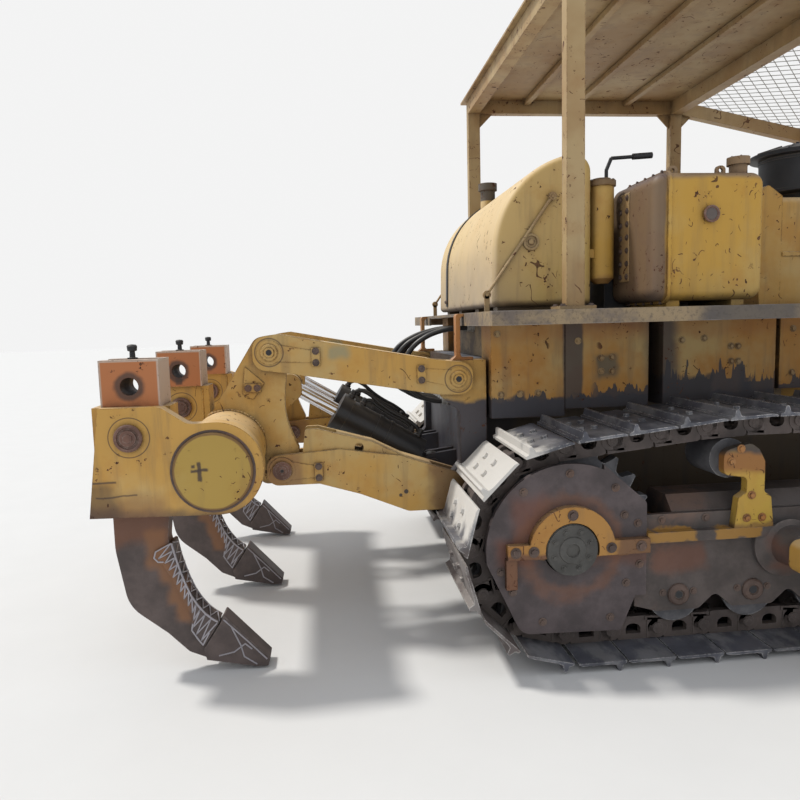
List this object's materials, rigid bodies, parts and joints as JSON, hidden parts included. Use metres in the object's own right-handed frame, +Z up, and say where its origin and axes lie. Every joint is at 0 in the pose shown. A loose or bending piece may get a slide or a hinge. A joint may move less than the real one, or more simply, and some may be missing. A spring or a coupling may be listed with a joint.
{
  "type": "crawler bulldozer with ripper",
  "caption": "Crawler bulldozer with a straight blade on lift cylinders, a shank ripper on a parallel linkage and an open canopy over the operator's deck.",
  "frame": {"origin": "middle of the whole machine's box, on the ground", "axes": "+X forward towards the blade, +Y to the machine's left, +Z up"},
  "size_m": [6.462, 3.6, 3.002],
  "materials": {
    "faded_ochre_paint": "faded ochre paint with chips, rust and grease",
    "worn_track_steel": "dirty worn steel with bright edges",
    "rusty_plate": "brown rusted plate",
    "orange_rust_paint": "orange paint gone to rust",
    "cylinder_black": "black paint with oil film",
    "chrome_rod": "polished chrome with oil",
    "shank_steel": "forged steel, brown and worn",
    "dusty_deck": "trodden blue-grey steel with dust",
    "canopy_paint": "brown ochre paint on tube",
    "mesh_steel": "expanded grey mesh",
    "hose_rubber": "black hose rubber with dust",
    "black_vinyl": "black vinyl",
    "black_paint": "matt black paint",
    "engine_paint": "oily cast iron",
    "lamp": "clear lamp"
  },
  "bodies": {
    "root": {"track_left": "worn_track_steel", "track_right": "worn_track_steel", "sprockets": "worn_track_steel", "final_drives": "worn_track_steel", "idlers": "worn_track_steel", "track_rollers": "worn_track_steel", "carrier_rollers": "worn_track_steel", "carrier_brackets": "faded_ochre_paint", "track_frames": "rusty_plate", "sprocket_guards": "rusty_plate", "axle_bearing_caps": "orange_rust_paint", "transmission_case": "faded_ochre_paint", "main_frame": "faded_ochre_paint", "belly_guards": "rusty_plate", "equalizer_bar": "faded_ochre_paint", "engine_block": "engine_paint", "hood": "faded_ochre_paint", "engine_side_covers": "faded_ochre_paint", "instrument_cowl": "faded_ochre_paint", "radiator_guard": "faded_ochre_paint", "radiator_core": "black_paint", "radiator_grille": "faded_ochre_paint", "fender_decks": "dusty_deck", "fender_supports": "faded_ochre_paint", "operator_floor": "dusty_deck", "fuel_tank": "faded_ochre_paint", "hydraulic_tank": "faded_ochre_paint", "filter_canister": "faded_ochre_paint", "battery_box": "faded_ochre_paint", "operator_seat": "black_vinyl", "control_console": "black_paint", "control_levers": "black_paint", "canopy_posts": "canopy_paint", "canopy_roof": "canopy_paint", "visor_frame": "canopy_paint", "visor_mesh": "mesh_steel", "precleaner": "black_paint", "exhaust_stack": "rusty_plate", "headlights": "lamp", "lift_yokes": "faded_ochre_paint", "ripper_bracket": "faded_ochre_paint", "rear_hoses": "hose_rubber", "deck_struts": "orange_rust_paint"},
    "box_lid": {"battery_box_lid": "faded_ochre_paint"},
    "blade": {"blade": "faded_ochre_paint", "cutting_edge": "worn_track_steel", "push_arms": "faded_ochre_paint"},
    "lift_barrels": {"lift_cylinder_barrels": "faded_ochre_paint"},
    "lift_rods": {"lift_cylinder_rods": "chrome_rod"},
    "ripper_lower": {"ripper_lower_links": "faded_ochre_paint"},
    "ripper_upper": {"ripper_upper_links": "faded_ochre_paint"},
    "ripper_beam": {"ripper_beam": "faded_ochre_paint", "ripper_shanks": "shank_steel", "ripper_tips": "shank_steel"},
    "ripper_barrels": {"ripper_cylinder_barrels": "cylinder_black", "ripper_cylinder_pipes": "cylinder_black"},
    "ripper_rods": {"ripper_cylinder_rods": "chrome_rod"}
  },
  "joints": [
    {"name": "blade_lift", "type": "hinge", "parent": "root", "child": "blade", "pos_m": [-0.284, 0, 0.47], "axis": [0, -1, 0], "range_deg": [-8, 16]},
    {"name": "lift_barrel_swing", "type": "hinge", "parent": "root", "child": "lift_barrels", "pos_m": [1.851, 0, 1.93], "axis": [0, -1, 0], "range_deg": [-9, 17.5]},
    {"name": "lift_rod_slide", "type": "slide", "parent": "lift_barrels", "child": "lift_rods", "axis": [0.5229, 0, -0.8524], "range_m": [-0.73, 0.37]},
    {"name": "ripper_lift", "type": "hinge", "parent": "root", "child": "ripper_lower", "pos_m": [-1.606, 0, 0.647], "axis": [0, 1, 0], "range_deg": [-33, 40]},
    {"name": "ripper_upper_swing", "type": "hinge", "parent": "root", "child": "ripper_upper", "pos_m": [-1.643, 0, 1.204], "axis": [0, 1, 0], "range_deg": [-34, 41]},
    {"name": "ripper_beam_level", "type": "hinge", "parent": "ripper_lower", "child": "ripper_beam", "pos_m": [-2.493, 0, 0.799], "axis": [0, 1, 0], "range_deg": [-41, 34]},
    {"name": "ripper_barrel_swing", "type": "hinge", "parent": "root", "child": "ripper_barrels", "pos_m": [-1.722, 0, 0.729], "axis": [0, 1, 0], "range_deg": [-33, 40]},
    {"name": "ripper_rod_slide", "type": "slide", "parent": "ripper_barrels", "child": "ripper_rods", "axis": [-0.8576, 0, 0.5143], "range_m": [-0.19, 0.23]},
    {"name": "box_lid_hinge", "type": "hinge", "parent": "root", "child": "box_lid", "pos_m": [-0.609, 0.606, 1.938], "axis": [1, 0, 0], "range_deg": [0, 95]}
  ],
  "couplings": [
    {"joint": "lift_barrel_swing", "follows": "blade_lift", "ratio": 1.042},
    {"joint": "lift_rod_slide", "follows": "blade_lift", "m_per_rad": -2.5627},
    {"joint": "ripper_upper_swing", "follows": "ripper_lift", "ratio": 1},
    {"joint": "ripper_beam_level", "follows": "ripper_lift", "ratio": -1},
    {"joint": "ripper_barrel_swing", "follows": "ripper_lift", "ratio": 0.955},
    {"joint": "ripper_rod_slide", "follows": "ripper_lift", "m_per_rad": 0.315}
  ]
}
